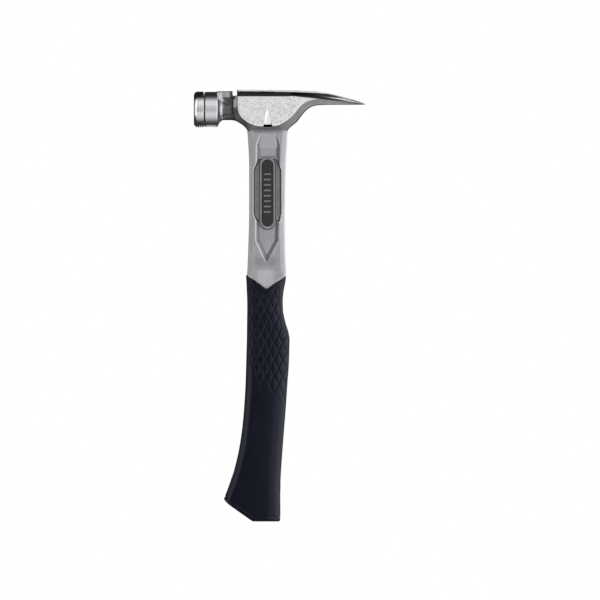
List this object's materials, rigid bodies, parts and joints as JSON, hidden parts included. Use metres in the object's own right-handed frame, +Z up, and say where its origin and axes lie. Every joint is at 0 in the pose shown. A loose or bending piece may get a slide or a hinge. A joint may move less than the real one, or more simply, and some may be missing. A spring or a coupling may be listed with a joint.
{
  "type": "trim hammer",
  "caption": "One-piece titanium trim hammer with a screwed-on steel striking face, straight slotted claw, magnetic nail starter, side nail puller and moulded rubber grip.",
  "frame": {"origin": "middle of the flat at the butt of the grip", "axes": "+Z up the handle to the head, striking face towards -X, claw towards +X, Y through the thickness"},
  "size_m": [0.1463, 0.0304, 0.3686],
  "materials": {
    "titanium": "bead-blasted cast titanium, cheeks ground with a coarse sparkling grain",
    "polished_steel": "machined and polished hardened steel",
    "seal_rubber": "matte black rubber",
    "magnet_nickel": "nickel-plated magnet",
    "grip_rubber": "matte black moulded rubber with a diamond groove pattern",
    "inlay_black": "satin black"
  },
  "bodies": {
    "root": {"titanium_body": "titanium", "nail_magnet": "magnet_nickel", "rubber_grip": "grip_rubber", "inlay_front": "inlay_black", "inlay_back": "inlay_black"},
    "face_carrier": {"face_seal_ring": "seal_rubber"},
    "face": {"striking_face": "polished_steel"}
  },
  "joints": [
    {"name": "face_travel", "type": "slide", "parent": "root", "child": "face_carrier", "axis": [-1, 0, 0], "range_m": [0, 0.0105]},
    {"name": "face_turn", "type": "hinge", "parent": "face_carrier", "child": "face", "pos_m": [-0.0568, 0, 0.35173], "axis": [-1, 0, 0], "range_deg": [0, 2161]}
  ],
  "couplings": [
    {"joint": "face_turn", "follows": "face_travel", "rad_per_m": 3590.4}
  ]
}
